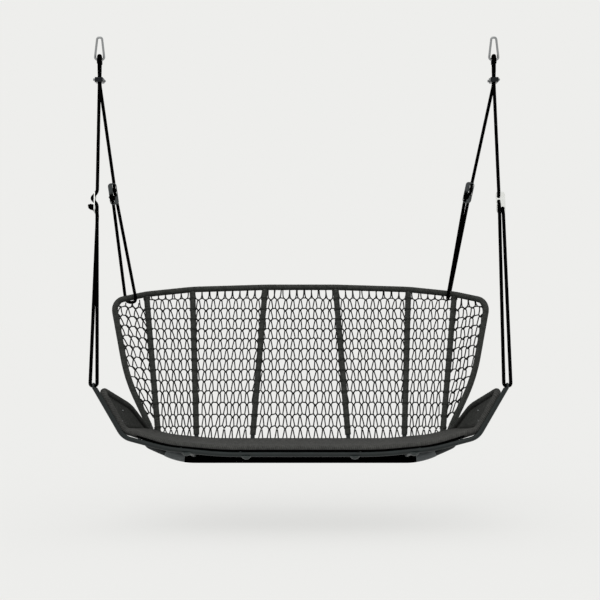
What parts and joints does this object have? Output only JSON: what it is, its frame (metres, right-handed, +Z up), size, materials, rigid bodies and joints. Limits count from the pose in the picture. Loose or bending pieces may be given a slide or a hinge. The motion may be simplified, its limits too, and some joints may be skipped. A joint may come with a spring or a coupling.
{
  "type": "hanging sofa",
  "caption": "Wide hanging sofa: tube frame with netted reclined back, corded seat with raised wings, hung by ropes with adjusters from snap hooks.",
  "frame": {"origin": "midway between the inner tops of the two snap hooks, where the sofa hangs from the ceiling", "axes": "+X across the sofa to the right of someone looking at its front, +Y from the front to the back, +Z up"},
  "size_m": [1.8328, 0.8469, 1.928],
  "materials": {
    "frame_paint": "satin",
    "hook_steel": "polished",
    "clamp_steel": "satin",
    "adjuster_plate": "satin",
    "screw_steel": "satin",
    "rope": "matte",
    "chafe_sleeve": "matte",
    "net_cord": "matte",
    "seat_cord": "matte"
  },
  "bodies": {
    "hooks": {"left_hook_body": "hook_steel", "right_hook_body": "hook_steel", "left_gate_pin": "hook_steel", "right_gate_pin": "hook_steel"},
    "sofa": {"back_rim": "frame_paint", "carrier_bosses": "frame_paint", "front_carrier_tube": "frame_paint", "left_clamp_bolts": "clamp_steel", "left_clamp_inner_half": "clamp_steel", "left_clamp_nuts": "clamp_steel", "left_clamp_outer_half": "clamp_steel", "left_crease_rail": "frame_paint", "left_eye_sleeve": "chafe_sleeve", "left_front_adjuster": "adjuster_plate", "left_front_knot": "rope", "left_net_2": "net_cord", "left_net_3": "net_cord", "left_net_4": "net_cord", "left_rear_adjuster": "adjuster_plate", "left_rear_knot": "rope", "left_rib_1": "frame_paint", "left_rib_2": "frame_paint", "left_rib_3": "frame_paint", "left_rope": "rope", "left_rope_eye": "frame_paint", "left_wing_cover": "seat_cord", "lower_cross_tube": "frame_paint", "net_1": "net_cord", "right_clamp_bolts": "clamp_steel", "right_clamp_inner_half": "clamp_steel", "right_clamp_nuts": "clamp_steel", "right_clamp_outer_half": "clamp_steel", "right_crease_rail": "frame_paint", "right_eye_sleeve": "chafe_sleeve", "right_front_adjuster": "adjuster_plate", "right_front_knot": "rope", "right_net_2": "net_cord", "right_net_3": "net_cord", "right_net_4": "net_cord", "right_rear_adjuster": "adjuster_plate", "right_rear_knot": "rope", "right_rib_1": "frame_paint", "right_rib_2": "frame_paint", "right_rib_3": "frame_paint", "right_rope": "rope", "right_rope_eye": "frame_paint", "right_wing_cover": "seat_cord", "seat_cover": "seat_cord", "seat_frame_tube": "frame_paint", "seat_standoffs": "frame_paint", "seat_winding": "seat_cord", "wing_screws": "screw_steel"},
    "left_gate": {"left_gate": "hook_steel"},
    "right_gate": {"right_gate": "hook_steel"}
  },
  "joints": [
    {"name": "swing", "type": "hinge", "parent": "hooks", "child": "sofa", "pos_m": [0, 0, -0.095], "axis": [1, 0, 0], "range_deg": [-20, 20]},
    {"name": "left_gate_open", "type": "hinge", "parent": "hooks", "child": "left_gate", "pos_m": [-0.8772, 0, -0.015], "axis": [0, 1, 0], "range_deg": [0, 24], "stiffness_Nm_per_rad": 0.15, "springref_deg": -20.05},
    {"name": "right_gate_open", "type": "hinge", "parent": "hooks", "child": "right_gate", "pos_m": [0.8772, 0, -0.015], "axis": [0, -1, 0], "range_deg": [0, 24], "stiffness_Nm_per_rad": 0.15, "springref_deg": -20.05}
  ]
}
